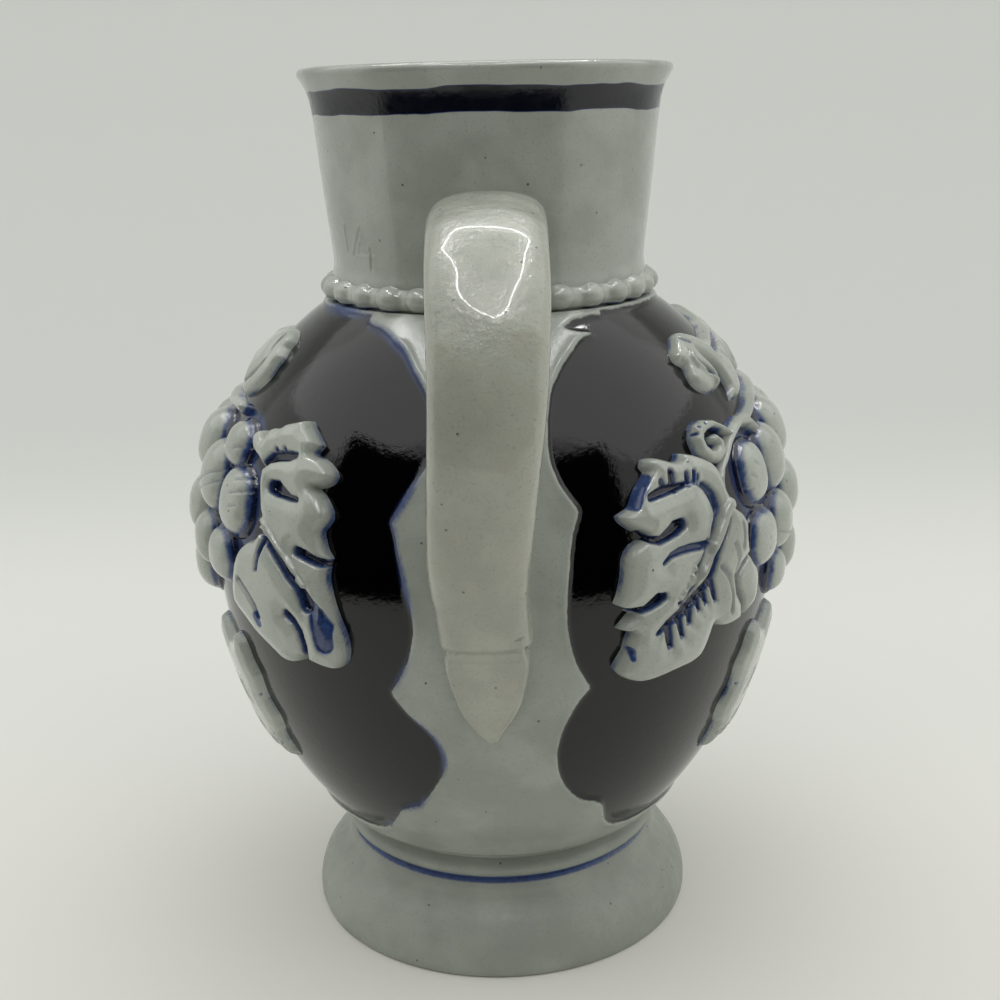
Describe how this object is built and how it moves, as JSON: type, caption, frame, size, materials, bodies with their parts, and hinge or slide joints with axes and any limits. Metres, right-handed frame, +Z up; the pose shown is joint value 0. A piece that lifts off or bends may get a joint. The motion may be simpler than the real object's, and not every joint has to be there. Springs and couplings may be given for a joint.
{
  "type": "pitcher",
  "caption": "Small footed stoneware pitcher with a round belly, a strap handle, a bead collar, a pinched pouring lip and vine relief on both sides.",
  "frame": {"origin": "middle of the flat base, on the table", "axes": "+Z up the turned body's axis; -Y to the handle, +Y to the pouring lip, +X to the right when the handle faces the viewer"},
  "size_m": [0.0878, 0.0972, 0.1215],
  "materials": {
    "grey_salt_glaze": "glossy grey salt glaze with fine dark specks",
    "dark_cobalt_glaze": "deep glossy blue-black glaze with a grey reserved field under the handle and under the lip",
    "blue_washed_relief": "glossy grey relief with cobalt blue washed into its hollows"
  },
  "bodies": {
    "root": {"foot": "grey_salt_glaze", "belly": "dark_cobalt_glaze", "neck": "grey_salt_glaze", "bead_collar": "grey_salt_glaze", "handle": "grey_salt_glaze", "handle_tongue": "grey_salt_glaze", "right_grape_bunch": "blue_washed_relief", "right_handle_side_leaf": "blue_washed_relief", "right_lip_side_leaf": "blue_washed_relief", "right_top_leaf": "blue_washed_relief", "right_low_leaf": "blue_washed_relief", "right_vine_stem": "blue_washed_relief", "right_tendril": "blue_washed_relief", "left_grape_bunch": "blue_washed_relief", "left_handle_side_leaf": "blue_washed_relief", "left_lip_side_leaf": "blue_washed_relief", "left_top_leaf": "blue_washed_relief", "left_low_leaf": "blue_washed_relief", "left_vine_stem": "blue_washed_relief", "left_tendril": "blue_washed_relief"}
  },
  "joints": []
}
